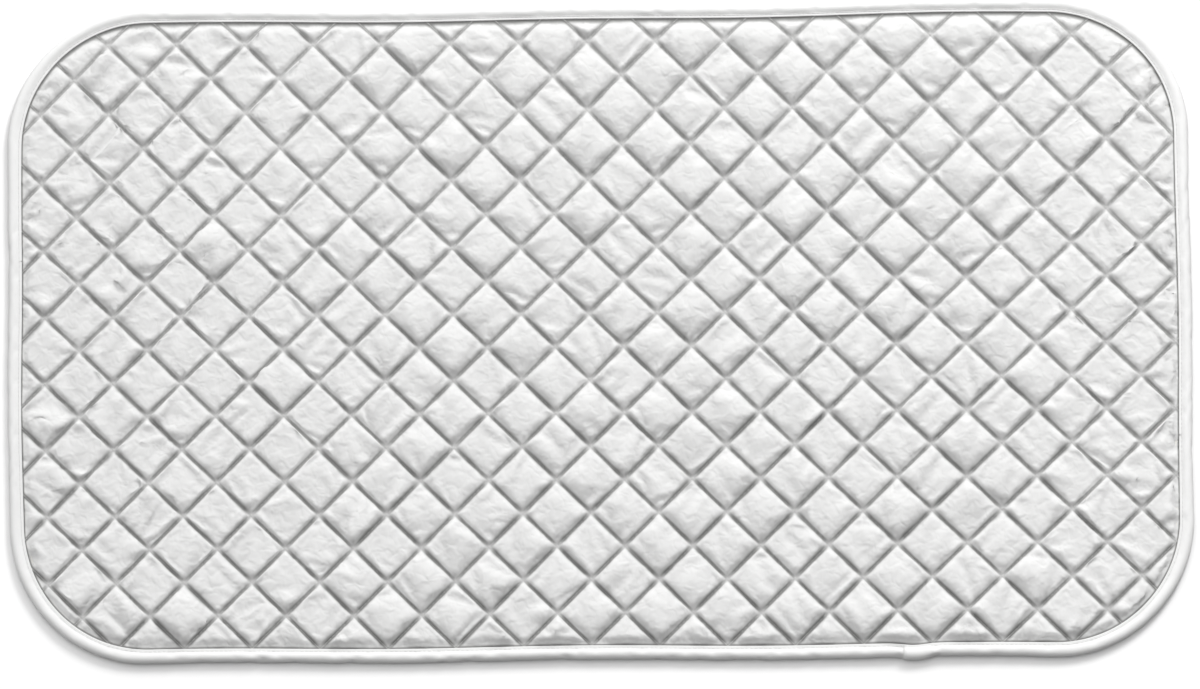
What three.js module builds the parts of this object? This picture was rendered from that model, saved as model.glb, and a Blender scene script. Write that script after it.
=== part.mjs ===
// A quilted ironing pad: wadding between a face cloth and a backing cloth, sewn through along two crossing
// sets of slanting seams and bound at its edge with a folded tape. Millimetres, Z up, X along the pad.
// The origin is on the table, under the middle of the pad.
import * as THREE from 'three';

// Finished outline
const PAD_LENGTH = 850;
const PAD_WIDTH = 480;
const CORNER_RADIUS = 100;
const BINDING_CORNER_STEPS = 8;
const PLY_CORNER_STEPS = 4;

// Plies, and the clearance between things that lie on one another
const FACE_CLOTH = 0.5;
const PINCHED_WADDING = 0.9;
const BACKING_CLOTH = 0.4;
const LAY_CLEARANCE = 0.15;

// Quilting: seams at equal spacing, slanting both ways, and the puff of the diamonds between them
const SEAM_SPACING = 34.5;
const SEAM_SLANT_DEGREES = 45;
const CROSSING_RIGHT_OF_CENTRE = 16.7;
const CROSSING_BEFORE_CENTRE = 9.8;
const FACE_CROWN = 4.2;
const BACK_CROWN = 2.8;
const LEAST_PUFFED_SHARE = 0.3;
const QUILTING_THREAD = 0.35;
const THREAD_TURN_RADIUS = 0.6;

// Edge binding: how far the folded tape reaches in, its round nose, and the strip its stitches press down
const BINDING_TAPE = 0.5;
const BINDING_WIDTH = 10;
const BINDING_NOSE = 3.6;
const NOSE_STEPS = 6;
const PRESSED_STRIP = 3.6;
const BINDING_THREAD = 0.35;
const TAPE_ENDS_X = 223;
const TAPE_ENDS_GAP = 0.3;

// Heights from the table up. Each leg of the tape lies over two crossing threads and dips at its stitches.
const threadRoom = 2 * QUILTING_THREAD + 3 * LAY_CLEARANCE;
const stitchSink = BINDING_THREAD + 2 * LAY_CLEARANCE;
const legDip = 2 * stitchSink;
const legDepth = threadRoom + BINDING_TAPE + legDip;
const backingUnder = Math.max(legDepth, BACK_CROWN);
const backingOver = backingUnder + BACKING_CLOTH;
const waddingUnder = backingOver + LAY_CLEARANCE;
const waddingOver = waddingUnder + PINCHED_WADDING;
const faceUnder = waddingOver + LAY_CLEARANCE;
const faceOver = faceUnder + FACE_CLOTH;
const bindingUnder = backingUnder - legDepth;
const bindingOver = faceOver + legDepth;

// Insets from the finished edge: the plies' cut edge in the fold, the quilting's rim, the turns of the seams
const foldHalf = (bindingOver - bindingUnder) / 2 - BINDING_TAPE;
const pliesHalf = (faceOver - backingUnder) / 2;
const foldReach = (BINDING_NOSE - BINDING_TAPE) * Math.sqrt(1 - (pliesHalf / foldHalf) ** 2);
const cutEdgeInset = BINDING_NOSE - foldReach + LAY_CLEARANCE;
const quiltInset = BINDING_WIDTH + LAY_CLEARANCE;
const seamTurnInset = (cutEdgeInset + quiltInset) / 2;

// Directions of the seams, and the step from crossing to crossing along them
const slant = THREE.MathUtils.degToRad(SEAM_SLANT_DEGREES);
const crossingStep = SEAM_SPACING / Math.sin(2 * slant);
const rising = new THREE.Vector2(Math.cos(slant), Math.sin(slant));
const falling = new THREE.Vector2(Math.cos(slant), -Math.sin(slant));
const middleCrossing = new THREE.Vector2(CROSSING_RIGHT_OF_CENTRE, -CROSSING_BEFORE_CENTRE);
const seamReach = Math.ceil((PAD_LENGTH + PAD_WIDTH) / SEAM_SPACING);

// Rounded rectangle at an inset from the finished edge, anticlockwise from the front right corner
function outline(inset, cornerSteps) {
  const points = [];
  const x = PAD_LENGTH / 2 - CORNER_RADIUS;
  const y = PAD_WIDTH / 2 - CORNER_RADIUS;
  const radius = CORNER_RADIUS - inset;
  [[x, -y], [x, y], [-x, y], [-x, -y]].forEach(([centreX, centreY], corner) => {
    for (let step = 0; step <= cornerSteps; step++) {
      const angle = (corner - 1 + step / cornerSteps) * Math.PI / 2;
      points.push(new THREE.Vector2(centreX + radius * Math.cos(angle), centreY + radius * Math.sin(angle)));
    }
  });
  return points;
}

// What is left of a polygon inside a convex anticlockwise boundary
function clip(polygon, boundary) {
  let kept = polygon;
  boundary.forEach((from, index) => {
    const along = boundary[(index + 1) % boundary.length].clone().sub(from);
    const sides = kept.map((point) => along.cross(point.clone().sub(from)));
    const clipped = [];
    kept.forEach((point, corner) => {
      const before = (corner + kept.length - 1) % kept.length;
      if (sides[corner] * sides[before] < 0) {
        clipped.push(kept[before].clone().lerp(point, sides[before] / (sides[before] - sides[corner])));
      }
      if (sides[corner] >= 0) {
        clipped.push(point);
      }
    });
    kept = clipped;
  });
  return kept;
}

// Anticlockwise triangles over a flat contour
function triangulate(contour) {
  return THREE.ShapeUtils.triangulateShape(contour, []).map((corners) => {
    const turn = THREE.ShapeUtils.area(corners.map((corner) => contour[corner]));
    return turn < 0 ? corners.toReversed() : corners;
  });
}

function solid(positions, triangles) {
  const geometry = new THREE.BufferGeometry();
  geometry.setAttribute('position', new THREE.Float32BufferAttribute(positions, 3));
  geometry.setIndex(triangles.flat());
  geometry.computeVertexNormals();
  return geometry;
}

function crossing(alongRising, alongFalling) {
  const point = middleCrossing.clone();
  point.addScaledVector(rising, alongRising * crossingStep);
  return point.addScaledVector(falling, alongFalling * crossingStep);
}

// The pattern of a ply's surface. Each diamond fans out from a crown at its middle, and so may the remnants
// that the binding leaves, down to a least share. A flat margin runs on under the binding to the cut edge.
function quiltPattern({ remnantsPuff }) {
  const points = [];
  const rises = [];
  const triangles = [];
  const indices = new Map();
  const rimEdges = new Map();

  function indexOf(point, rise) {
    const key = `${point.x.toFixed(3)} ${point.y.toFixed(3)}`;
    if (!indices.has(key)) {
      indices.set(key, points.length);
      points.push(point);
      rises.push(rise);
    }
    return indices.get(key);
  }

  function addCell(diamond, boundary) {
    const cell = clip(diamond, boundary);
    const loop = [...new Set(cell.map((point) => indexOf(point, 0)))];
    if (loop.length < 3) {
      return;
    }
    const share = THREE.ShapeUtils.area(cell) / THREE.ShapeUtils.area(diamond);
    const whole = diamond.every((point) => cell.includes(point));
    let hub = loop[0];
    if (whole || (remnantsPuff && share >= LEAST_PUFFED_SHARE)) {
      const middle = new THREE.Vector2();
      loop.forEach((corner) => middle.addScaledVector(points[corner], 1 / loop.length));
      hub = indexOf(middle, Math.sqrt(share));
    }
    loop.forEach((from, corner) => {
      const to = loop[(corner + 1) % loop.length];
      if (from !== hub && to !== hub) {
        triangles.push([from, to, hub]);
      }
      if (!rimEdges.delete(`${to} ${from}`)) {
        rimEdges.set(`${from} ${to}`, [from, to]);
      }
    });
  }

  const quiltRim = outline(quiltInset, PLY_CORNER_STEPS);
  for (let i = -seamReach; i <= seamReach; i++) {
    for (let j = -seamReach; j <= seamReach; j++) {
      const diamond = [crossing(i, j), crossing(i, j + 1), crossing(i + 1, j + 1), crossing(i + 1, j)];
      addCell(diamond, quiltRim);
    }
  }

  const following = new Map(rimEdges.values());
  const rimCorners = quiltRim.map((point) => indexOf(point, 0));
  const cutLoop = outline(cutEdgeInset, PLY_CORNER_STEPS).map((point) => indexOf(point, 0));
  let from = rimCorners[0];
  for (let corner = 0; corner < cutLoop.length; corner++) {
    const nextCorner = (corner + 1) % cutLoop.length;
    while (from !== rimCorners[nextCorner]) {
      triangles.push([cutLoop[corner], following.get(from), from]);
      from = following.get(from);
    }
    triangles.push([cutLoop[corner], cutLoop[nextCorner], from]);
  }
  return { points, rises, triangles, cutLoop };
}

// On the outer faces of the cloths the remnants at the binding puff too; inside, only whole diamonds do
const shownPattern = quiltPattern({ remnantsPuff: true });
const hiddenPattern = quiltPattern({ remnantsPuff: false });

// One ply between two quilted surfaces, each given by its pattern, its height at the seams and its puff
function ply(under, over) {
  const positions = [];
  for (const { pattern, seam, puff } of [under, over]) {
    pattern.points.forEach((point, index) => {
      positions.push(point.x, point.y, seam + puff * pattern.rises[index]);
    });
  }
  const above = under.pattern.points.length;
  const triangles = under.pattern.triangles.map((corners) => corners.toReversed());
  for (const corners of over.pattern.triangles) {
    triangles.push(corners.map((corner) => corner + above));
  }
  const lower = under.pattern.cutLoop;
  const upper = over.pattern.cutLoop.map((corner) => corner + above);
  lower.forEach((from, corner) => {
    const next = (corner + 1) % lower.length;
    triangles.push([from, lower[next], upper[next]], [from, upper[next], upper[corner]]);
  });
  return solid(positions, triangles);
}

// Sweep of an anticlockwise section, given as distances left of the path and heights, with mitred turns
function sweep(path, section, closed) {
  const positions = [];
  const triangles = [];
  const sides = section.length;
  const last = path.length - 1;
  path.forEach((point, index) => {
    const before = index > 0 ? path[index - 1] : path[closed ? last : 0];
    const after = index < last ? path[index + 1] : path[closed ? 0 : last];
    const arriving = point.clone().sub(before).normalize();
    const leaving = after.clone().sub(point).normalize();
    const along = arriving.clone().add(leaving).normalize();
    const mitre = Math.max(along.dot(arriving), along.dot(leaving));
    for (const [left, height] of section) {
      positions.push(point.x - along.y * left / mitre, point.y + along.x * left / mitre, height);
    }
  });
  const spans = closed ? path.length : last;
  for (let span = 0; span < spans; span++) {
    const here = span * sides;
    const next = ((span + 1) % path.length) * sides;
    for (let side = 0; side < sides; side++) {
      const beside = (side + 1) % sides;
      triangles.push([here + side, next + beside, next + side], [here + side, here + beside, next + beside]);
    }
  }
  if (!closed) {
    const contour = section.map(([left, height]) => new THREE.Vector2(left, height));
    for (const [a, b, c] of triangulate(contour)) {
      triangles.push([c, b, a], [last * sides + a, last * sides + b, last * sides + c]);
    }
  }
  return solid(positions, triangles);
}

function threadSection(left, height, thickness) {
  const half = thickness / 2;
  return [[left + half, height], [left, height + half], [left - half, height], [left, height - half]];
}

// Both ends of a straight seam on a boundary, with their places along it, in the order that the seam runs
function seamEnds(direction, seam, boundary) {
  const shift = direction.cross(middleCrossing) + seam * SEAM_SPACING;
  const offsets = boundary.map((point) => direction.cross(point) - shift);
  const ends = [];
  boundary.forEach((from, index) => {
    const next = (index + 1) % boundary.length;
    if (offsets[index] * offsets[next] < 0) {
      const part = offsets[index] / (offsets[index] - offsets[next]);
      ends.push({ point: from.clone().lerp(boundary[next], part), place: index + part });
    }
  });
  return ends.sort((one, other) => one.point.dot(direction) - other.point.dot(direction));
}

// Corners of a boundary that are passed between two places on it, leaving out those close to either place
function cornersBetween(boundary, from, to, forwards) {
  const count = boundary.length;
  const [first, second] = forwards ? [from, to] : [to, from];
  const span = (second.place - first.place + count) % count;
  const passed = [];
  for (let corner = Math.floor(first.place) + 1; corner < first.place + span; corner++) {
    passed.push(boundary[corner % count]);
  }
  const clearOfTurn = 8 * THREAD_TURN_RADIUS;
  const isClear = (point) => [from, to].every((end) => point.distanceTo(end.point) > clearOfTurn);
  const kept = passed.filter(isClear);
  return forwards ? kept : kept.reverse();
}

// Sharp turns of a thread become small arcs
function roundTurns(path) {
  const sharpTurn = Math.PI / 3;
  const arcStep = Math.PI / 2.5;
  return path.flatMap((point, index) => {
    if (index === 0 || index === path.length - 1) {
      return [point];
    }
    const arriving = point.clone().sub(path[index - 1]).normalize();
    const leaving = path[index + 1].clone().sub(point).normalize();
    const turn = Math.atan2(arriving.cross(leaving), arriving.dot(leaving));
    if (Math.abs(turn) < sharpTurn) {
      return [point];
    }
    const tangent = THREAD_TURN_RADIUS * Math.tan(Math.abs(turn) / 2);
    const start = point.clone().addScaledVector(arriving, -tangent);
    const inwards = new THREE.Vector2(-arriving.y, arriving.x).multiplyScalar(Math.sign(turn));
    const centre = start.clone().addScaledVector(inwards, THREAD_TURN_RADIUS);
    const steps = Math.ceil(Math.abs(turn) / arcStep);
    const along = (step) => start.clone().rotateAround(centre, turn * step / steps);
    return Array.from({ length: steps + 1 }, (_, step) => along(step));
  });
}

// One thread sews a whole set of seams: to and fro across the pad, and along the margin from seam to seam
function seamRoute(direction) {
  const turnLine = outline(seamTurnInset, PLY_CORNER_STEPS);
  const quiltRim = outline(quiltInset, PLY_CORNER_STEPS);
  const route = [];
  let forwards = true;
  let previous = null;
  for (let seam = -seamReach; seam <= seamReach; seam++) {
    if (seamEnds(direction, seam, quiltRim).length < 2) {
      continue;
    }
    const ends = seamEnds(direction, seam, turnLine);
    const [start, end] = forwards ? ends : ends.toReversed();
    if (previous) {
      route.push(...cornersBetween(turnLine, previous, start, !forwards));
    }
    route.push(start.point, end.point);
    previous = end;
    forwards = !forwards;
  }
  return roundTurns(route);
}

function quiltingThread(direction, height) {
  return sweep(seamRoute(direction), threadSection(0, height, QUILTING_THREAD), false);
}

// Round nose of the tape, from its upper end to its lower one, at a depth inside the tape's outer face
function noseCurve(depth) {
  const across = BINDING_NOSE - depth;
  const upright = (bindingOver - bindingUnder) / 2 - depth;
  const middle = (bindingOver + bindingUnder) / 2;
  return Array.from({ length: NOSE_STEPS + 1 }, (_, step) => {
    const angle = (0.5 - step / NOSE_STEPS) * Math.PI;
    return [BINDING_NOSE - across * Math.cos(angle), middle + upright * Math.sin(angle)];
  });
}

// One face of the folded tape, from the upper leg's edge round the nose to the lower leg's edge
function tapeFace(depth) {
  const pressedFrom = BINDING_WIDTH - PRESSED_STRIP;
  return [
    [BINDING_WIDTH, bindingOver - legDip - depth],
    [pressedFrom, bindingOver - depth],
    ...noseCurve(depth),
    [pressedFrom, bindingUnder + depth],
    [BINDING_WIDTH, bindingUnder + legDip + depth],
  ];
}

function edgeBinding() {
  const front = -PAD_WIDTH / 2;
  const start = new THREE.Vector2(TAPE_ENDS_X + TAPE_ENDS_GAP / 2, front);
  const end = new THREE.Vector2(TAPE_ENDS_X - TAPE_ENDS_GAP / 2, front);
  const section = [...tapeFace(0), ...tapeFace(BINDING_TAPE).reverse()];
  return sweep([start, ...outline(0, BINDING_CORNER_STEPS), end], section, false);
}

function bindingThread(height) {
  const stitchLine = BINDING_WIDTH - PRESSED_STRIP / 2;
  const section = threadSection(stitchLine, height, BINDING_THREAD);
  return sweep(outline(0, BINDING_CORNER_STEPS), section, true);
}

const cloth = new THREE.MeshStandardMaterial({ color: 0xf2f2f0, roughness: 0.8, metalness: 0 });
const fibre = new THREE.MeshStandardMaterial({ color: 0xf7f5ef, roughness: 1, metalness: 0 });
const tape = new THREE.MeshStandardMaterial({ color: 0xececea, roughness: 0.75, metalness: 0 });
const thread = new THREE.MeshStandardMaterial({ color: 0xdededb, roughness: 0.6, metalness: 0 });

const pad = new THREE.Group();

function add(name, geometry, material) {
  const mesh = new THREE.Mesh(geometry, material);
  mesh.name = name;
  pad.add(mesh);
}

const backing = ply(
  { pattern: shownPattern, seam: backingUnder, puff: -BACK_CROWN },
  { pattern: hiddenPattern, seam: backingOver, puff: -BACK_CROWN },
);
const wadding = ply(
  { pattern: hiddenPattern, seam: waddingUnder, puff: -BACK_CROWN },
  { pattern: hiddenPattern, seam: waddingOver, puff: FACE_CROWN },
);
const face = ply(
  { pattern: hiddenPattern, seam: faceUnder, puff: FACE_CROWN },
  { pattern: shownPattern, seam: faceOver, puff: FACE_CROWN },
);
add('backing_cloth', backing, cloth);
add('wadding', wadding, fibre);
add('face_cloth', face, cloth);

// The rising seams are sewn first, so the falling ones cross over them on the face and under them on the back
const firstThread = LAY_CLEARANCE + QUILTING_THREAD / 2;
const secondThread = firstThread + QUILTING_THREAD + LAY_CLEARANCE;
add('needle_thread_rising', quiltingThread(rising, faceOver + firstThread), thread);
add('needle_thread_falling', quiltingThread(falling, faceOver + secondThread), thread);
add('bobbin_thread_rising', quiltingThread(rising, backingUnder - firstThread), thread);
add('bobbin_thread_falling', quiltingThread(falling, backingUnder - secondThread), thread);

const stitchOnLeg = stitchSink - LAY_CLEARANCE - BINDING_THREAD / 2;
add('edge_binding', edgeBinding(), tape);
add('binding_needle_thread', bindingThread(bindingOver - stitchOnLeg), thread);
add('binding_bobbin_thread', bindingThread(bindingUnder + stitchOnLeg), thread);

export default pad;
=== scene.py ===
import math

import bpy
import numpy as np
from mathutils import Matrix


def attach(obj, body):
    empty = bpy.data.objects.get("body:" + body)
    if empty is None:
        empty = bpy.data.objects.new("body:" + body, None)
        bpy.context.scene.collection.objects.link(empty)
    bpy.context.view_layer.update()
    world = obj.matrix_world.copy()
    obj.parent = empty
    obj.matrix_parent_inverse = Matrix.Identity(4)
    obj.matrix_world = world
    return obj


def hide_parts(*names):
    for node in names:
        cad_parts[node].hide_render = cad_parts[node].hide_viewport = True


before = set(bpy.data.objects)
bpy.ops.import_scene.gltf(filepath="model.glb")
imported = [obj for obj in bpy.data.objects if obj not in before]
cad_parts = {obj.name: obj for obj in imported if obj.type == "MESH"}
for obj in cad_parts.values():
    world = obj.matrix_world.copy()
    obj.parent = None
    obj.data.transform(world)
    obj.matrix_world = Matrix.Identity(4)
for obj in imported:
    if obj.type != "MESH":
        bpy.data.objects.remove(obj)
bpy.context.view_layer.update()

# Backing and face cloth: two panels of plain-woven white cotton, cut larger than the pad and gathered onto
# the wadding by the quilting seams, so that each diamond puffs out and its spare cloth wrinkles.
# The face puffs freely, and the backing's diamonds flatten where they rest on the table.
half_length = 0.425
half_width = 0.240
corner_radius = 0.100
cut_edge_inset = 0.0016
binding_reach = 0.0100
seam_spacing = 0.0345
middle_crossing = (0.0167, -0.0105)
cells_per_diamond = 16
cells_crowd_to_seam = 0.42
cloth_thickness = 0.0005
face_at_seam = 0.00505
backing_at_seam = 0.00295
table_clearance = 0.00010
rounding = 1e-6


def ease(value):
    share = np.clip(value, 0, 1)
    return share * share * (3 - 2 * share)


def inside_edge(x, y):
    """How far points lie inside the finished edge, and the direction that leads out to it."""
    past_x = np.abs(x) - (half_length - corner_radius)
    past_y = np.abs(y) - (half_width - corner_radius)
    reach = np.hypot(np.maximum(past_x, 0), np.maximum(past_y, 0))
    inset = corner_radius - reach - np.minimum(np.maximum(past_x, past_y), 0)
    at_corner = reach > 0
    length = np.where(at_corner, reach, 1)
    out_x = np.where(at_corner, np.maximum(past_x, 0) / length, past_x >= past_y) * np.sign(x)
    out_y = np.where(at_corner, np.maximum(past_y, 0) / length, past_x < past_y) * np.sign(y)
    return inset, out_x, out_y


def quilted_place(rising, falling):
    """Where a place on the quilting lies: so many diamonds along the rising and the falling seams."""
    end_drift, end_drift_from, end_drift_over = 0.0055, 0.17, 0.25
    back_drift, back_drift_from, back_drift_over = 0.0045, 0.08, 0.14
    back_spread, back_spread_over, back_spread_limit = 0.0105, 0.18, 1.2
    step = seam_spacing * math.sqrt(0.5)
    x = middle_crossing[0] + step * (rising + falling)
    y = middle_crossing[1] + step * (rising - falling)
    spread = 1 + back_spread * np.clip(y / back_spread_over, 0, back_spread_limit)
    drifted_x = x * spread + end_drift * ease((x - end_drift_from) / end_drift_over)
    return drifted_x, y + back_drift * ease((y - back_drift_from) / back_drift_over)


def lay_out(points):
    """The finished pad as it lies: its front draws in, its back edge swings out, its edges wave."""
    front_draws_in = 0.008
    back_swing, right_swing, right_swing_from, right_swing_over = 0.0014, 0.0030, -0.05, 0.35
    end_wave, end_wave_length, end_wave_start = 0.0004, 0.030, 0.7
    side_wave, side_wave_length, side_wave_start = 0.0008, 0.043, 1.9
    lump, lump_x, lump_spread, lump_from, lump_over = 0.0020, 0.224, 0.011, 0.205, 0.035
    x, y = points[:, 0].copy(), points[:, 1].copy()
    to_front, to_back = ease(-y / half_width), ease(y / half_width)
    near_end = (np.abs(x) / half_length) ** 3
    near_side = (np.abs(y) / half_width) ** 3
    at_tape_lap = np.exp(-((x - lump_x) / lump_spread) ** 2) * ease((-y - lump_from) / lump_over)
    swing = back_swing + right_swing * ease((x - right_swing_from) / right_swing_over)
    points[:, 0] = x * (1 - front_draws_in * to_front)
    points[:, 0] += end_wave * near_end * np.sin(y / end_wave_length + end_wave_start)
    points[:, 1] = y + to_back * swing - lump * at_tape_lap
    points[:, 1] += side_wave * near_side * np.sin(x / side_wave_length + side_wave_start)
    return points


quilt_reach = math.ceil((half_length + half_width) / seam_spacing) + 1
steps = np.arange(-quilt_reach * cells_per_diamond, quilt_reach * cells_per_diamond + 1)
turns = steps / cells_per_diamond
along_seam = turns - cells_crowd_to_seam * np.sin(2 * np.pi * turns) / (2 * np.pi)
rising, falling = np.meshgrid(along_seam, along_seam, indexing="ij")
x, y = quilted_place(rising, falling)
inset, out_x, out_y = inside_edge(x, y)

# Cells come in blocks of two by two, so that the cloth's inner face can be drawn with one quad a block
blocks = len(steps) // 2
whole = np.ones((blocks, blocks), bool)
for row in range(3):
    for column in range(3):
        whole &= inset[row:row + 2 * blocks:2, column:column + 2 * blocks:2] > cut_edge_inset
cells = np.repeat(np.repeat(whole, 2, 0), 2, 1)
touching = np.zeros(x.shape, int)
for row, column in ((0, 0), (0, 1), (1, 0), (1, 1)):
    touching[row:row + len(cells), column:column + len(cells)] += cells
used = touching > 0
on_border = used & (touching < 4)
trim = np.where(on_border, inset - cut_edge_inset, 0)
x, y, inset = x + out_x * trim, y + out_y * trim, inset - trim

number = np.full(used.shape, -1)
number[used] = np.arange(used.sum())
coarse = used.copy()
coarse[1::2, :] = False
coarse[:, 1::2] = False
inner_number = np.full(used.shape, -1)
inner_number[coarse] = np.arange(coarse.sum())


def quads(at, mask, stride):
    row, column = (index * stride for index in np.nonzero(mask))
    corners = [at[row, column], at[row, column + stride]]
    corners += [at[row + stride, column + stride], at[row + stride, column]]
    return np.stack(corners, 1)


outer_quads = quads(number, cells, 1)
inner_quads = quads(inner_number, whole, 2)
grid_number = np.arange(used.size).reshape(used.shape)
block_edges = quads(grid_number, whole, 2)
block_edges = np.stack([block_edges, np.roll(block_edges, -1, 1)], 2).reshape(-1, 2)
there, back = block_edges @ [used.size, 1], block_edges @ [1, used.size]
rim_from, rim_to = block_edges[~np.isin(there, back)].T
rim_middle = grid_number[
    (rim_from // len(steps) + rim_to // len(steps)) // 2,
    (rim_from % len(steps) + rim_to % len(steps)) // 2,
]

# How far each point lies from the seams and from the furrow along the binding, which draws the cloth in
furrow_width, furrow_draw = 0.0012, 0.0022
drawn_at_ends, drawn_more_at_back, drawn_more_at_front = 0.45, 0.75, 0.2
front_band = 0.05
flat = np.stack([x[used], y[used], np.zeros(used.sum())], 1)
off_rising = seam_spacing * np.abs(falling - np.round(falling))[used]
off_falling = seam_spacing * np.abs(rising - np.round(rising))[used]
off_seam = np.minimum(off_rising, off_falling)
to_back, to_front = np.maximum(out_y, 0)[used], np.maximum(-out_y, 0)[used]
drawn_under = drawn_at_ends + drawn_more_at_back * to_back + drawn_more_at_front * to_front
off_binding = np.maximum(inset[used] - binding_reach - furrow_width - furrow_draw * drawn_under, 0)
off_stitch = np.minimum(off_seam, off_binding)
held_down = off_stitch < rounding
faces_front = to_front * (inset[used] < front_band)
diamond_row = np.floor(rising[used] + rounding).astype(int) + quilt_reach
diamond_column = np.floor(falling[used] + rounding).astype(int) + quilt_reach


def gather(cut, sewn, faces, grip, fill, pressure, bending):
    """Cloth simulation of cut cloth that is drawn onto its stitches and puffed from within."""
    magnified = 100
    drawn_by, settled_by = 8, 10
    weight_steps = 40
    mesh = bpy.data.meshes.new("cut cloth")
    mesh.from_pydata(cut * magnified, [], faces)
    cloth = bpy.data.objects.new("cut cloth", mesh)
    bpy.context.scene.collection.objects.link(cloth)
    for name, weights in (("grip", grip), ("fill", fill)):
        group = cloth.vertex_groups.new(name=name)
        levels = np.round(weights * weight_steps) / weight_steps
        for level in np.unique(levels):
            group.add(np.nonzero(levels == level)[0].tolist(), float(level), "REPLACE")
    cloth.shape_key_add(name="as cut", from_mix=False)
    drawn = cloth.shape_key_add(name="as sewn", from_mix=False)
    drawn.data.foreach_set("co", (sewn * magnified).astype(np.float32).ravel())
    for frame_number, value in ((1, 0), (drawn_by, 1)):
        drawn.value = value
        drawn.keyframe_insert("value", frame=frame_number)
    simulation = cloth.modifiers.new("gathering", "CLOTH")
    settings = simulation.settings
    settings.quality = 5
    settings.mass = 0.05
    settings.tension_stiffness = settings.compression_stiffness = 200
    settings.shear_stiffness = 20
    settings.bending_stiffness = bending
    settings.vertex_group_mass = "grip"
    settings.pin_stiffness = 2
    settings.use_pressure = True
    settings.uniform_pressure_force = pressure
    settings.vertex_group_pressure = "fill"
    settings.effector_weights.gravity = 0
    simulation.collision_settings.use_collision = False
    simulation.point_cache.frame_end = settled_by
    for frame_number in range(1, settled_by + 1):
        bpy.context.scene.frame_set(frame_number)
    shown = cloth.evaluated_get(bpy.context.evaluated_depsgraph_get())
    place = np.zeros(len(cut) * 3, np.float32)
    shown.data.vertices.foreach_get("co", place)
    action = mesh.shape_keys.animation_data.action
    bpy.data.objects.remove(cloth)
    bpy.data.meshes.remove(mesh)
    bpy.data.actions.remove(action)
    bpy.context.scene.frame_set(1)
    return place.reshape(-1, 3).astype(float) / magnified


def uneven_feed(chance, points, ripples, shortest, longest):
    """How far cloth slipped under the needle before it was caught, of about one unit."""
    slip = np.zeros((len(points), 2))
    for _ in range(ripples):
        heading, phase, push = chance.uniform(0, 2 * np.pi, 3)
        length = chance.uniform(shortest, longest)
        travel = points[:, 0] * np.cos(heading) + points[:, 1] * np.sin(heading)
        ripple = np.sin(2 * np.pi * travel / length + phase)
        slip += ripple[:, None] * np.array([np.cos(push), np.sin(push)]) / math.sqrt(ripples / 2)
    return slip


def drawn_straight(height):
    """A cloth's height with the puckers along its seams evened out, as the taut stitches leave it."""
    taut_width = 0.003
    evened_over = range(-2, 3)
    grid = np.zeros(used.shape)
    grid[used] = height
    for axis, off in ((0, off_rising), (1, off_falling)):
        evened = sum(np.roll(grid, shift, axis) for shift in evened_over) / len(evened_over)
        grid[used] += np.exp(-(off / taut_width) ** 2) * (evened[used] - grid[used])
    return np.where(held_down, 0, grid[used])


def wrinkled(sewn, loft, spare, slip, chance):
    """Domed cloth once its spare is gathered in: it slipped most at the ends, and the stitches hold it."""
    slip_at_middle = 0.8
    slip_at_right, right_from, right_over = 1.7, 0.28, 0.12
    slip_at_left, left_from, left_over = 1.5, 0.10, 0.25
    dome_when_cut, nap = 0.3, 0.0001
    wadding_grip, binding_grip, binding_grip_depth = 0.2, 0.6, 0.004
    held_width = 0.0045
    to_right = ease((flat[:, 0] - right_from) / right_over)
    to_left = ease((-flat[:, 0] - left_from) / left_over)
    slips = slip * (slip_at_middle + slip_at_right * to_right + slip_at_left * to_left)
    cut = sewn * [1 + spare[0], 1 + spare[1], dome_when_cut]
    cut[:, :2] += slips[:, None] * uneven_feed(chance, flat, ripples=24, shortest=0.014, longest=0.042)
    cut[:, 2] += np.where(held_down, 0, chance.normal(0, nap, len(flat)))
    loose_grip = wadding_grip + binding_grip * np.exp(-(off_binding / binding_grip_depth) ** 2)
    grip = np.where(held_down, 1, loose_grip)
    gathered = gather(cut, sewn, outer_quads, grip, loft, pressure=0.8, bending=0.3)
    free = 1 - np.exp(-(off_stitch / held_width) ** 2)
    gathered[:, :2] = flat[:, :2] + (gathered[:, :2] - flat[:, :2]) * free[:, None]
    gathered[:, 2] = drawn_straight(gathered[:, 2])
    return gathered


def quilted(seed, spare, slip, crown, groove):
    """A cloth over its seams: carried by domed wadding, wrinkled by spare cloth, pulled in by stitches."""
    least_loft, most_lean, roundness = 0.65, 0.17, 0.7
    shoulder, front_sharper = 0.012, 0.007
    front_fuller, front_depth = 2.4, 0.03
    groove_width = 0.0019
    chance = np.random.default_rng(seed)
    diamonds = (2 * quilt_reach, 2 * quilt_reach)
    loft = chance.uniform(least_loft, 1, diamonds)[diamond_row, diamond_column]
    leans = chance.uniform(-most_lean, most_lean, (2, *diamonds))[:, diamond_row, diamond_column]
    dome = np.ones(len(flat))
    for along, peak in zip((rising[used], falling[used]), 0.5 + leans):
        across = along - np.floor(along + rounding)
        share = np.clip(np.minimum(across / peak, (1 - across) / (1 - peak)), 0, 1)
        dome *= share * (2 - share)
    edge_share = np.minimum(off_seam / shoulder, off_binding / (shoulder - front_sharper * faces_front))
    edge_share = np.minimum(edge_share, 1)
    dome = dome ** roundness * crown * loft * edge_share * (2 - edge_share)
    dome *= 1 + front_fuller * faces_front * (1 - ease(off_binding / front_depth))
    pulled_in = np.full(len(flat), groove)
    for off in (off_rising, off_falling, off_binding):
        pulled_in *= 1 - np.exp(-(off / groove_width) ** 2)
    sewn = np.column_stack([flat[:, :2], dome])
    sewn = wrinkled(sewn, loft, spare, slip, chance)
    sewn[:, 2] += pulled_in
    return sewn


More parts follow.
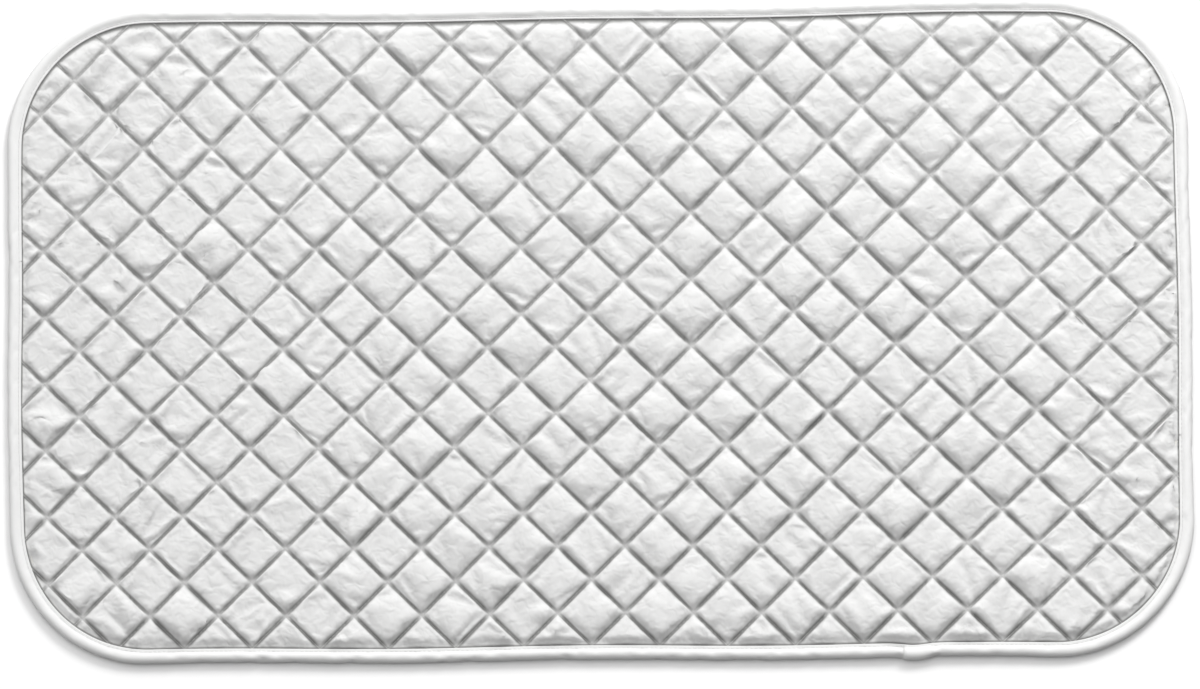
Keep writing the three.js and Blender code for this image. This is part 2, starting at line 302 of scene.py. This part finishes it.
def inner_face(outer, facing):
    """A cloth's inner face: a cloth's thickness behind the lowest of the points round each of its own."""
    neighbours = range(-2, 3)
    height = np.full(used.shape, np.inf)
    height[used] = facing * outer[:, 2]
    lowest = height.copy()
    for row_shift in neighbours:
        for column_shift in neighbours:
            lowest = np.minimum(lowest, np.roll(height, (row_shift, column_shift), (0, 1)))
    inner = outer[number[coarse]].copy()
    inner[:, 2] = facing * (lowest[coarse] - cloth_thickness)
    return inner


face_spare = (0.092, 0.054)
backing_spare = (0.030, 0.020)
face_outer = quilted(seed=7, spare=face_spare, slip=0.0016, crown=0.0044, groove=0.0031)
face_outer[:, 2] += face_at_seam
face_inner = inner_face(face_outer, 1)
backing_outer = quilted(seed=19, spare=backing_spare, slip=0.0004, crown=0.0024, groove=0.0010)
rest_depth = backing_at_seam - table_clearance
puff = np.maximum(backing_outer[:, 2], 0)
backing_outer[:, 2] = backing_at_seam - rest_depth * np.tanh((puff / rest_depth) ** 2) ** 0.5
backing_inner = inner_face(backing_outer, -1)

inner_from, inner_to = inner_number.flat[rim_from], inner_number.flat[rim_to]
rim = np.stack([number.flat[rim_to], number.flat[rim_middle], number.flat[rim_from]], 1)
inner_start = len(flat)
hem = np.column_stack([rim, inner_from + inner_start, inner_to + inner_start])
cloth_faces = [*outer_quads.tolist(), *(inner_quads[:, ::-1] + inner_start).tolist(), *hem.tolist()]
stitch_lines = np.full((len(flat) + coarse.sum(), 3), seam_spacing)
past_tape = (inset[used] - binding_reach) / drawn_under
stitch_lines[:len(flat)] = np.stack([off_rising, off_falling, past_tape], 1)


def make_piece(name, points, faces, places=None, place_name="place"):
    """A smooth mesh object from points in metres; places are what its material reads at each point."""
    mesh = bpy.data.meshes.new(name)
    mesh.from_pydata(lay_out(points.copy()), [], faces)
    mesh.shade_smooth()
    if places is not None:
        attribute = mesh.attributes.new(place_name, "FLOAT_VECTOR", "POINT")
        attribute.data.foreach_set("vector", places.astype(np.float32).ravel())
    piece = bpy.data.objects.new(name, mesh)
    bpy.context.scene.collection.objects.link(piece)
    return piece


def shader_group(name, takes, gives):
    group = bpy.data.node_groups.new(name, "ShaderNodeTree")
    for socket, kind in takes:
        group.interface.new_socket(socket, in_out="INPUT", socket_type=kind)
    for socket, kind in gives:
        group.interface.new_socket(socket, in_out="OUTPUT", socket_type=kind)
    return group, group.nodes.new("NodeGroupInput").outputs, group.nodes.new("NodeGroupOutput").inputs


def fill_sockets(tree, made, values):
    """Fills a node's inputs, named or numbered, with plain values or with the outputs of other nodes."""
    for name, value in values.items():
        socket = made.inputs[int(name[1:]) if name[1:].isdigit() else name.replace("_", " ")]
        if isinstance(value, bpy.types.NodeSocket):
            tree.links.new(value, socket)
        else:
            socket.default_value = value


def node(tree, kind, result=0, **values):
    """One output of a new node, whose settings and inputs are given by name."""
    made = tree.nodes.new(kind)
    for name in [name for name in values if hasattr(made, name)]:
        setattr(made, name, values.pop(name))
    fill_sockets(tree, made, values)
    return made.outputs[result]


def reckon(tree, operation, *values):
    """A number worked out from one, two or three others."""
    numbered = {f"_{at}": value for at, value in enumerate(values)}
    return node(tree, "ShaderNodeMath", operation=operation, **numbered)


# Plain weave: round threads that pass over and under one another, with a little unevenness in the yarn
plain_weave, given, put = shader_group(
    "plain weave",
    [("Place", "NodeSocketVector"), ("Threads per metre", "NodeSocketFloat")],
    [("Height", "NodeSocketFloat"), ("Gaps", "NodeSocketFloat")],
)
yarn = node(plain_weave, "ShaderNodeTexNoise", result=1, Vector=given["Place"], Scale=420.0, Detail=2.0)
wander = node(plain_weave, "ShaderNodeVectorMath", operation="SCALE", _0=yarn, Scale=0.0006)
threads = node(plain_weave, "ShaderNodeVectorMath", operation="ADD", _0=given["Place"], _1=wander)
threads = node(
    plain_weave, "ShaderNodeVectorMath", operation="SCALE", _0=threads, Scale=given["Threads per metre"]
)
split = node(plain_weave, "ShaderNodeSeparateXYZ", Vector=threads).node.outputs
rounds = []
for axis in (0, 1):
    turned = reckon(plain_weave, "MULTIPLY", split[axis], math.pi)
    rounds.append(reckon(plain_weave, "SINE", turned))
lies_over = reckon(plain_weave, "MULTIPLY", *rounds)
lies_over = node(plain_weave, "ShaderNodeMapRange", Value=lies_over, From_Min=-0.2, From_Max=0.2)
warp, weft = (reckon(plain_weave, "ABSOLUTE", side) for side in rounds)
height = node(plain_weave, "ShaderNodeMix", Factor=lies_over, A=weft, B=warp)
gaps = node(plain_weave, "ShaderNodeMapRange", Value=height, From_Max=0.5, To_Min=1.0, To_Max=0.0)
plain_weave.links.new(height, put["Height"])
plain_weave.links.new(gaps, put["Gaps"])

# Washed cloth: a faint cloudiness of tone, and the small crumple that is left between the seams
washed_cloth, given, put = shader_group(
    "washed cloth",
    [("Place", "NodeSocketVector")],
    [("Cloud", "NodeSocketFloat"), ("Crumple", "NodeSocketFloat")],
)
cloud = node(washed_cloth, "ShaderNodeTexNoise", Vector=given["Place"], Scale=55.0, Detail=4.0)
crumple = node(
    washed_cloth, "ShaderNodeTexNoise", Vector=given["Place"], Scale=140.0, Detail=1.0, Distortion=0.4
)
washed_cloth.links.new(cloud, put["Cloud"])
washed_cloth.links.new(crumple, put["Crumple"])


def placed(tree, group, **values):
    """A shader group in a material, with its inputs filled."""
    made = tree.nodes.new("ShaderNodeGroup")
    made.node_tree = group
    fill_sockets(tree, made, values)
    return made.outputs


def blend(tree, share, first, second):
    """A mix of two colours, each given as red, green and blue or as another node's output."""
    first, second = (
        colour if isinstance(colour, bpy.types.NodeSocket) else (*colour, 1) for colour in (first, second)
    )
    return node(tree, "ShaderNodeMix", result=2, data_type="RGBA", _0=share, _6=first, _7=second)


def new_material(name):
    material = bpy.data.materials.new(name)
    material.use_nodes = True
    return material, material.node_tree, material.node_tree.nodes["Principled BSDF"].inputs


cloth_dim, cloth_bright = (0.785, 0.785, 0.78), (0.835, 0.835, 0.83)
cloth_between_threads = (0.72, 0.72, 0.715)
# Painted shade: a dark tone along the seams stands in for the shade in the seam grooves.
seam_shade_colour = (0.17, 0.17, 0.165)
# Painted shadow: a dark tone in the furrow beside the binding stands in for the shadow that the binding's
# ridge casts there.
tape_shadow_colour = (0.24, 0.24, 0.235)
# Widths of the painted shade, how much weaker the painted seam shade is at the crossings, and how it weakens
# from the front towards the back, as the lamp behind the pad leaves the front slopes in shade.
shade_least_width, shade_most_width = 0.0019, 0.0036
crossing_shade_reach, crossing_shade_least = 0.0065, 0.25
tape_shadow_place = 0.0008
shade_full_below_y, shade_least_above_y, shade_least_share = -0.15, 0.20, 0.74

cotton, tree, finish = new_material("white cotton cloth")
place = node(tree, "ShaderNodeTexCoord", result=3)
weave = placed(tree, plain_weave, Place=place, Threads_per_metre=2300.0)
washed = placed(tree, washed_cloth, Place=place)
lines = node(tree, "ShaderNodeAttribute", result=1, attribute_name="stitch lines")
split = node(tree, "ShaderNodeSeparateXYZ", Vector=lines).node.outputs
off_seam_line = reckon(tree, "MINIMUM", split[0], split[1])
off_crossing = reckon(tree, "MAXIMUM", split[0], split[1])
off_tape = reckon(tree, "ABSOLUTE", reckon(tree, "SUBTRACT", split[2], tape_shadow_place))
# Painted seam shade: its width wanders with the cloud tone, it is weaker at the crossings, and it is darkest
# towards the front, where the slopes face away from the lamp.
shade_width = node(
    tree, "ShaderNodeMapRange", Value=washed["Cloud"], From_Min=0.3, From_Max=0.7,
    To_Min=shade_least_width, To_Max=shade_most_width,
)
# Painted shadow in the furrow beside the binding, centred just past the tape's inner edge.
tape_shadow_share = node(
    tree, "ShaderNodeMapRange", interpolation_type="SMOOTHSTEP", Value=off_tape, From_Max=shade_width,
    To_Min=1.0, To_Max=0.0,
)
crossing_shade_share = node(
    tree, "ShaderNodeMapRange", Value=off_crossing, From_Max=crossing_shade_reach, To_Min=crossing_shade_least, To_Max=1.0
)
seam_shade_share = node(
    tree, "ShaderNodeMapRange", interpolation_type="SMOOTHSTEP", Value=off_seam_line, From_Max=shade_width,
    To_Min=crossing_shade_share, To_Max=0.0,
)
towards_back = node(tree, "ShaderNodeSeparateXYZ", result=1, Vector=place)
front_shade_share = node(
    tree, "ShaderNodeMapRange", Value=towards_back, From_Min=shade_full_below_y, From_Max=shade_least_above_y,
    To_Min=1.0, To_Max=shade_least_share,
)
seam_shade_share = reckon(tree, "MULTIPLY", seam_shade_share, front_shade_share)
tone = blend(tree, washed["Cloud"], cloth_dim, cloth_bright)
tone = blend(tree, weave["Gaps"], tone, cloth_between_threads)
# The painted seam shade and the painted shadow beside the tape are laid over the cloth's own tone.
tone = blend(tree, seam_shade_share, tone, seam_shade_colour)
tone = blend(tree, tape_shadow_share, tone, tape_shadow_colour)
tree.links.new(tone, finish["Base Color"])
dullness = node(tree, "ShaderNodeMapRange", Value=washed["Cloud"], To_Min=0.62, To_Max=0.78)
tree.links.new(dullness, finish["Roughness"])
finish["Specular IOR Level"].default_value = 0.2
finish["Sheen Weight"].default_value = 0.12
finish["Sheen Roughness"].default_value = 0.45
crumpled = node(tree, "ShaderNodeBump", Height=washed["Crumple"], Strength=1.0, Distance=0.0012)
woven = node(tree, "ShaderNodeBump", Height=weave["Height"], Strength=0.4, Distance=0.00005, Normal=crumpled)
tree.links.new(woven, finish["Normal"])

face_points = np.vstack([face_outer, face_inner])
face_cloth = make_piece("quilted_face_cloth", face_points, cloth_faces, stitch_lines, "stitch lines")
backing_points = np.vstack([backing_outer, backing_inner])
backing_faces = [face[::-1] for face in cloth_faces]
backing_cloth = make_piece(
    "quilted_backing_cloth", backing_points, backing_faces, stitch_lines, "stitch lines"
)
for cloth, node_name, spare in (
    (face_cloth, "face_cloth", face_spare), (backing_cloth, "backing_cloth", backing_spare)
):
    cloth.data.materials.append(cotton)
    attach(cloth, "root")
    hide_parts(node_name)

# Wadding: one sheet of bonded white polyester fibre that fills the diamonds between the two cloths.
# The quilting pinches it flat under every seam, and its cut edge ends inside the binding.
fibre_clearance = 0.00015
fibre_dim, fibre_bright = (0.78, 0.77, 0.73), (0.93, 0.92, 0.89)
wadding_top = face_inner - [0, 0, fibre_clearance]
wadding_under = backing_inner + [0, 0, fibre_clearance]
under_start = len(wadding_top)
wadding_hem = np.column_stack([inner_to, inner_from, inner_from + under_start, inner_to + under_start])
wadding_faces = [*inner_quads.tolist(), *(inner_quads[:, ::-1] + under_start).tolist(), *wadding_hem.tolist()]
wadding = make_piece("quilted_wadding", np.vstack([wadding_top, wadding_under]), wadding_faces)

bonded_fibre, tree, finish = new_material("bonded fibre")
place = node(tree, "ShaderNodeTexCoord", result=3)
strands = node(tree, "ShaderNodeTexNoise", Vector=place, Scale=900.0, Detail=6.0, Distortion=2.5)
tree.links.new(blend(tree, strands, fibre_dim, fibre_bright), finish["Base Color"])
finish["Roughness"].default_value = 0.95
finish["Specular IOR Level"].default_value = 0.1
fluff = node(tree, "ShaderNodeBump", Height=strands, Strength=0.6, Distance=0.0005)
tree.links.new(fluff, finish["Normal"])
wadding.data.materials.append(bonded_fibre)
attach(wadding, "root")
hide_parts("wadding")

# Quilting threads: white polyester lockstitch through all three plies, needle threads on the face and bobbin
# threads on the back. One thread sews a whole set of seams, turning round in the margin under the binding.
quilting_stitch = 0.0036
thread_thickness = 0.00036
thread_sides = 5
thread_twist = 0.0007
thread_dim, thread_bright = (0.66, 0.66, 0.655), (0.82, 0.82, 0.81)
turn_inset = 0.0058
lift_in_margin = 0.00004
second_set_lift = 0.0001


def edge_line(inset, spacing=0.0005):
    """The pad's outline at an inset, anticlockwise from the middle of the front edge, in small steps."""
    steps_per_corner = 160
    long_run, short_run = half_length - corner_radius, half_width - corner_radius
    quarter = np.linspace(0, np.pi / 2, steps_per_corner)
    radius = corner_radius - inset
    runs = [(0, -half_width + inset)]
    for side_x, side_y, turn in ((1, -1, 3), (1, 1, 0), (-1, 1, 1), (-1, -1, 2)):
        angle = quarter + turn * np.pi / 2
        corner_x = side_x * long_run + radius * np.cos(angle)
        corner_y = side_y * short_run + radius * np.sin(angle)
        runs += list(zip(corner_x, corner_y))
    runs.append(runs[0])
    runs = np.array(runs)
    place = np.concatenate([[0], np.cumsum(np.hypot(*np.diff(runs, axis=0).T))])
    along = np.linspace(0, place[-1], round(place[-1] / spacing), endpoint=False)
    return np.stack([np.interp(along, place, runs[:, 0]), np.interp(along, place, runs[:, 1])], 1)


def margin_between(line, start, end):
    """Points of the margin's turning line from one seam's end to the next seam's start, the short way."""
    end_room, stride = 4, 6
    first, last = (np.argmin(np.hypot(*(line - point).T)) for point in (start, end))
    ahead = (last - first) % len(line)
    if ahead <= len(line) // 2:
        passed = np.arange(first, first + ahead)
    else:
        passed = np.arange(first, first - (len(line) - ahead), -1)
    return line[passed[end_room:-end_room:stride] % len(line)]


def tube(path, thickness, sides, closed=False):
    """A thread along a path, and at each of its points the place along it and round it."""
    following = np.roll(path, -1, 0) - np.roll(path, 1, 0)
    if not closed:
        following[0], following[-1] = path[1] - path[0], path[-1] - path[-2]
    heading = following / np.linalg.norm(following, axis=1, keepdims=True)
    left = np.cross([0, 0, 1], heading)
    left /= np.linalg.norm(left, axis=1, keepdims=True)
    over = np.cross(heading, left)
    angle = np.arange(sides) * 2 * np.pi / sides
    ring = left[:, None] * np.cos(angle)[:, None] + over[:, None] * np.sin(angle)[:, None]
    points = (path[:, None] + thickness / 2 * ring).reshape(-1, 3)
    rings = len(path) if closed else len(path) - 1
    here = np.arange(rings)[:, None] * sides + np.arange(sides)
    beside = np.arange(rings)[:, None] * sides + (np.arange(sides) + 1) % sides
    total = len(path) * sides
    faces = np.stack([here, beside, (beside + sides) % total, (here + sides) % total], 2)
    faces = faces.reshape(-1, 4).tolist()
    if not closed:
        faces += [list(range(sides))[::-1], list(range(total - sides, total))]
    travelled = np.concatenate([[0], np.cumsum(np.linalg.norm(np.diff(path, axis=0), axis=1))])
    places = np.stack([np.repeat(travelled, sides), np.tile(angle, len(path)), np.zeros(total)], 1)
    return points, faces, places


def stitched(line, stitch, start):
    """Points of a lockstitch along a line, four to a stitch, with their lift: it dips in at each hole."""
    shares = np.array([0.0, 0.17, 0.5, 0.83])
    lifts = np.array([-0.00042, 0.00006, 0.00016, 0.00006])
    place = np.concatenate([[0], np.cumsum(np.hypot(*np.diff(line, axis=0).T))])
    count = max(2, round(place[-1] / stitch))
    pitch = place[-1] / count
    along = ((np.arange(count)[:, None] + shares + start) * pitch).ravel()
    kept = along <= place[-1]
    points = [np.interp(along[kept], place, line[:, axis]) for axis in (0, 1)]
    return np.stack(points, 1), np.tile(lifts, count)[kept]


def sewn_set(seed, set_runs, at_seam, facing):
    """One thread that sews a set of seams to and fro, on one side of the pad."""
    steps_per_diamond = 20
    chance = np.random.default_rng(seed)
    turning = edge_line(turn_inset)
    reach = np.linspace(-quilt_reach, quilt_reach, 2 * steps_per_diamond * quilt_reach + 1)
    path, forwards = [], True
    for seam in range(-quilt_reach, quilt_reach + 1):
        other = np.full_like(reach, seam)
        line = np.stack(quilted_place(*((reach, other) if set_runs == "rising" else (other, reach))), 1)
        room = inside_edge(line[:, 0], line[:, 1])[0]
        if (room > binding_reach).sum() < 2:
            continue
        line = line[room > turn_inset]
        line = line if forwards else line[::-1]
        points, lift = stitched(line, quilting_stitch, chance.uniform())
        under_binding = inside_edge(points[:, 0], points[:, 1])[0] < binding_reach
        lift = np.where(under_binding, lift_in_margin, lift)
        if path:
            margin = margin_between(turning, path[-1][-1, :2], points[0])
            path.append(np.column_stack([margin, np.full(len(margin), lift_in_margin)]))
        path.append(np.column_stack([points, lift]))
        forwards = not forwards
    path = np.vstack(path)
    path[:, 2] = at_seam + facing * (path[:, 2] + thread_thickness / 2)
    return tube(path, thread_thickness, thread_sides)


polyester, tree, finish = new_material("white polyester thread")
strand = node(tree, "ShaderNodeAttribute", result=1, attribute_name="place")
split = node(tree, "ShaderNodeSeparateXYZ", Vector=strand).node.outputs
twist = reckon(tree, "SINE", reckon(tree, "MULTIPLY_ADD", split[0], 2 * math.pi / thread_twist, split[1]))
ply = node(tree, "ShaderNodeMapRange", Value=twist, From_Min=-1.0, From_Max=1.0)
tree.links.new(blend(tree, ply, thread_dim, thread_bright), finish["Base Color"])
finish["Roughness"].default_value = 0.5
finish["Sheen Weight"].default_value = 0.1
ridges = node(tree, "ShaderNodeBump", Height=ply, Strength=0.5, Distance=0.00006)
tree.links.new(ridges, finish["Normal"])

for seed, side, at_seam, facing in ((31, "needle", face_at_seam, 1), (43, "bobbin", backing_at_seam, -1)):
    for offset, set_runs in enumerate(("rising", "falling")):
        at_set = at_seam + facing * offset * second_set_lift
        points, faces, places = sewn_set(seed + offset, set_runs, at_set, facing)
        thread = make_piece(f"{side}_stitches_{set_runs}", points, faces, places)
        thread.data.materials.append(polyester)
        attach(thread, "root")
        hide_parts(f"{side}_thread_{set_runs}")

# Edge binding: one strip of plain-woven cotton tape folded round the raw edge of the three plies, gathered
# a little as it was sewn on. Its last end is turned under and laps over its first, on the front edge.
tape_thickness = 0.0005
tape_path_inset = 0.004
lap_start_x = 0.216
lap_length = 0.017
lap_rise_before, lap_rise_over, lap_rise = 0.010, 0.008, 0.0005
first_end_sink_over, first_end_sink = 0.008, 0.0006
ring_spacing = 0.0028
tape_ease, tape_fold_ease, tape_spare_across = 1.004, 1.02, 1.03
tape_slip = 0.0000632
tape_end_held = 0.004
tape_dim, tape_bright, tape_between_threads = (0.89, 0.89, 0.885), (0.93, 0.93, 0.925), (0.85, 0.85, 0.845)
tape_fold = (
    (10.0, 6.05), (9.1, 5.85), (8.2, 5.75), (7.3, 6.30), (6.3, 7.20), (5.1, 7.85), (3.8, 8.00), (2.5, 7.65),
    (1.3, 6.75), (0.4, 5.45), (0.0, 4.00), (0.4, 2.50), (1.3, 1.15), (2.5, 0.35), (3.8, 0.02), (5.2, 0.00),
    (6.4, 0.10), (7.3, 0.75), (8.2, 1.45), (9.1, 1.50), (10.0, 1.45),
)
fold_middle = 0.004
stitch_columns = (2, 18)


def edge_path(inset, spacing):
    """The outline from the lap round to the lap again, with the direction that leads out at each point."""
    line = edge_line(inset)
    front = np.nonzero((line[:, 1] < -half_width + inset + rounding) & (line[:, 0] > lap_start_x))[0]
    line = np.roll(line, -front[0], 0)
    line = np.vstack([line, line[:1]])
    place = np.concatenate([[0], np.cumsum(np.hypot(*np.diff(line, axis=0).T))])
    along = np.linspace(0, place[-1] + lap_length, round((place[-1] + lap_length) / spacing))
    wrapped = along % place[-1]
    points = np.stack([np.interp(wrapped, place, line[:, axis]) for axis in (0, 1)], 1)
    outward = np.stack(inside_edge(points[:, 0], points[:, 1])[1:], 1)
    return along, place[-1], points, outward


def upright(points, faces):
    """Unit normals at the points of a surface of quads."""
    across = np.cross(points[faces[:, 2]] - points[faces[:, 0]], points[faces[:, 3]] - points[faces[:, 1]])
    normals = np.zeros_like(points)
    for corner in range(4):
        np.add.at(normals, faces[:, corner], across)
    return normals / np.linalg.norm(normals, axis=1, keepdims=True)


along, round_length, path, outward = edge_path(tape_path_inset, ring_spacing)
fold = np.array(tape_fold) / 1000
lap_share = ease((along - (round_length - lap_rise_before)) / lap_rise_over)
first_end = 1 - ease((along - lap_length) / first_end_sink_over)
inwards = tape_path_inset - fold[:, 0]
tape_sewn = np.zeros((len(along), len(fold), 3))
tape_sewn[:, :, :2] = path[:, None] + inwards[None, :, None] * outward[:, None]
tape_sewn[:, :, 2] = fold[:, 1]
fold_heading = np.gradient(fold, axis=0)
fold_out = np.stack([fold_heading[:, 1], fold_heading[:, 0]], 1)
fold_out /= np.linalg.norm(fold_out, axis=1, keepdims=True)
swell = lap_rise * lap_share[:, None] * (fold[:, 1] > fold_middle) - first_end_sink * first_end[:, None]
tape_sewn[:, :, :2] += (swell * fold_out[:, 0])[:, :, None] * outward[:, None]
tape_sewn[:, :, 2] += swell * fold_out[:, 1]
columns = len(fold)
tape_number = np.arange(len(along) * columns).reshape(len(along), columns)
tape_quads = np.stack(
    [tape_number[:-1, :-1], tape_number[:-1, 1:], tape_number[1:, 1:], tape_number[1:, :-1]], 2
).reshape(-1, 4)
tape_outer = tape_sewn.reshape(-1, 3)
column = np.tile(np.arange(columns), len(along))
tape_held = (column <= stitch_columns[0]) | (column >= stitch_columns[1])
tape_held |= np.repeat((along < tape_end_held) | (along > along[-1] - tape_end_held), columns)
tape_cut = tape_outer * [tape_ease, tape_ease, tape_fold_ease]
chance = np.random.default_rng(5)
tape_cut[:, :2] += tape_slip * uneven_feed(chance, tape_outer, ripples=20, shortest=0.012, longest=0.04)
tape_fill = np.ones(len(tape_outer))
tape_outer = gather(
    tape_cut, tape_outer, tape_quads, tape_held.astype(float), tape_fill, pressure=0.5, bending=3.0
)
tape_outer[:, 2] = np.maximum(tape_outer[:, 2], 0)
tape_inner = tape_outer - tape_thickness * upright(tape_outer, tape_quads)
second_face = len(tape_outer)
border_loop = np.concatenate([
    tape_number[0, :], tape_number[1:, -1], tape_number[-1, -2::-1], tape_number[-2:0:-1, 0]
])
border_next = np.roll(border_loop, -1)
tape_edge = np.stack([border_next, border_loop, border_loop + second_face, border_next + second_face], 1)
tape_faces = [*tape_quads.tolist(), *(tape_quads[:, ::-1] + second_face).tolist(), *tape_edge.tolist()]
across_tape = np.concatenate([[0], np.cumsum(np.hypot(*np.diff(fold, axis=0).T))])
tape_place = np.stack(
    [np.repeat(along, columns), np.tile(across_tape, len(along)), np.zeros(len(tape_outer))], 1
)
binding_points = np.vstack([tape_outer, tape_inner])
binding_places = np.vstack([tape_place, tape_place])
binding = make_piece("folded_edge_binding", binding_points, tape_faces, binding_places)

tape_cotton, tree, finish = new_material("woven cotton tape")
place = node(tree, "ShaderNodeAttribute", result=1, attribute_name="place")
weave = placed(tree, plain_weave, Place=place, Threads_per_metre=1700.0)
washed = placed(tree, washed_cloth, Place=place)
tone = blend(tree, washed["Cloud"], tape_dim, tape_bright)
tone = blend(tree, weave["Gaps"], tone, tape_between_threads)
tree.links.new(tone, finish["Base Color"])
dullness = node(tree, "ShaderNodeMapRange", Value=washed["Cloud"], To_Min=0.68, To_Max=0.84)
tree.links.new(dullness, finish["Roughness"])
finish["Specular IOR Level"].default_value = 0.25
finish["Sheen Weight"].default_value = 0.10
crumpled = node(tree, "ShaderNodeBump", Height=washed["Crumple"], Strength=0.4, Distance=0.0005)
woven = node(tree, "ShaderNodeBump", Height=weave["Height"], Strength=0.5, Distance=0.00008, Normal=crumpled)
tree.links.new(woven, finish["Normal"])
binding.data.materials.append(tape_cotton)
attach(binding, "root")
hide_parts("edge_binding")

# Binding threads: one row of lockstitch through both legs of the tape, close to its inner edges.
# The needle thread shows on the face and the bobbin thread under the pad.
binding_stitch = 0.0034
binding_stitch_inset = 0.0082
for side, at_tape, facing in (("needle", 0.00578, 1), ("bobbin", 0.00142, -1)):
    line = edge_line(binding_stitch_inset)
    points, lift = stitched(np.vstack([line, line[:1]]), binding_stitch, start=0)
    row = np.column_stack([points, at_tape + facing * (lift + thread_thickness / 2)])
    points, faces, places = tube(row, thread_thickness, thread_sides, closed=True)
    thread = make_piece(f"binding_{side}_stitches", points, faces, places)
    thread.data.materials.append(polyester)
    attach(thread, "root")
    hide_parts(f"binding_{side}_thread")

# Floor: a plain white table top that keeps the pad's shadow.
# It looks whiter to the camera than the light it throws back onto the pad.
floor_half = 12
floor_drop = 0.0001
floor_seen = (1.12, 1.12, 1.12, 1)
floor_corners = [(-floor_half, -floor_half, 0), (floor_half, -floor_half, 0)]
floor_corners += [(floor_half, floor_half, 0), (-floor_half, floor_half, 0)]
mesh = bpy.data.meshes.new("floor")
mesh.from_pydata(floor_corners, [], [(0, 1, 2, 3)])
floor = bpy.data.objects.new("floor", mesh)
bpy.context.scene.collection.objects.link(floor)
floor.location.z = -floor_drop
table_top, tree, finish = new_material("white table top")
finish["Base Color"].default_value = (0.36, 0.36, 0.36, 1)
finish["Roughness"].default_value = 0.9
finish["Specular IOR Level"].default_value = 0.0
rays = node(tree, "ShaderNodeLightPath").node.outputs
seen = reckon(tree, "MAXIMUM", rays["Is Camera Ray"], rays["Is Glossy Ray"])
seen = reckon(tree, "MAXIMUM", seen, rays["Is Transmission Ray"])
seen_white = node(tree, "ShaderNodeBsdfDiffuse", Color=floor_seen)
lit = tree.nodes["Principled BSDF"].outputs[0]
shown = node(tree, "ShaderNodeMixShader", _0=seen, _1=lit, _2=seen_white)
tree.links.new(shown, tree.nodes["Material Output"].inputs["Surface"])
floor.data.materials.append(table_top)

# Light: one soft lamp behind the pad, a little to the right, in a pale room.
# The room is brightest overhead and behind the pad, and darkens towards the front.
room_brightest = (-0.20, 0.69, 0.70)
room_strength = 1.27
room_dark_below = -0.2
lamp = bpy.data.lights.new("soft lamp", "AREA")
lamp.shape = "DISK"
lamp.size = 1.25
lamp.energy = 57
lamp_stand = bpy.data.objects.new("soft lamp", lamp)
bpy.context.scene.collection.objects.link(lamp_stand)
lamp_place = np.array([1.24, 2.40, 2.22])
lamp_stand.location = lamp_place
beam = -lamp_place / np.linalg.norm(lamp_place)
lamp_stand.rotation_euler = (math.acos(-beam[2]), 0, math.atan2(-beam[0], beam[1]))
room = bpy.data.worlds.new("pale room")
room.use_nodes = True
tree = room.node_tree
tree.nodes["Background"].inputs["Color"].default_value = (1, 1, 1, 1)
heading = node(tree, "ShaderNodeTexCoord")
overhead = node(
    tree, "ShaderNodeVectorMath", result=1, operation="DOT_PRODUCT", _0=heading, _1=room_brightest
)
glow = node(
    tree, "ShaderNodeMapRange", Value=overhead, From_Min=room_dark_below, To_Min=0.0, To_Max=room_strength
)
tree.links.new(glow, tree.nodes["Background"].inputs["Strength"])
bpy.context.scene.world = room
bpy.context.scene.view_settings.view_transform = "Standard"

# Camera: a long lens above the front edge, leaning a little back from straight down.
# It stands far off, so the back of the pad looks hardly smaller than the front.
picture_width = 0.8602
camera_distance = 8
lean = math.radians(13)
roll = math.radians(-0.5)
aim = np.array([0.0, -0.0094, 0.006])
camera = bpy.data.cameras.new("camera")
camera.sensor_width = 36
camera.lens = camera.sensor_width * camera_distance / picture_width
camera.clip_end = 50
tripod = bpy.data.objects.new("camera", camera)
bpy.context.scene.collection.objects.link(tripod)
stand = aim + camera_distance * np.array([0, -math.sin(lean), math.cos(lean)])
tilt = Matrix.Rotation(lean, 4, "X") @ Matrix.Rotation(roll, 4, "Z")
tripod.matrix_world = Matrix.Translation(stand) @ tilt
bpy.context.scene.camera = tripod
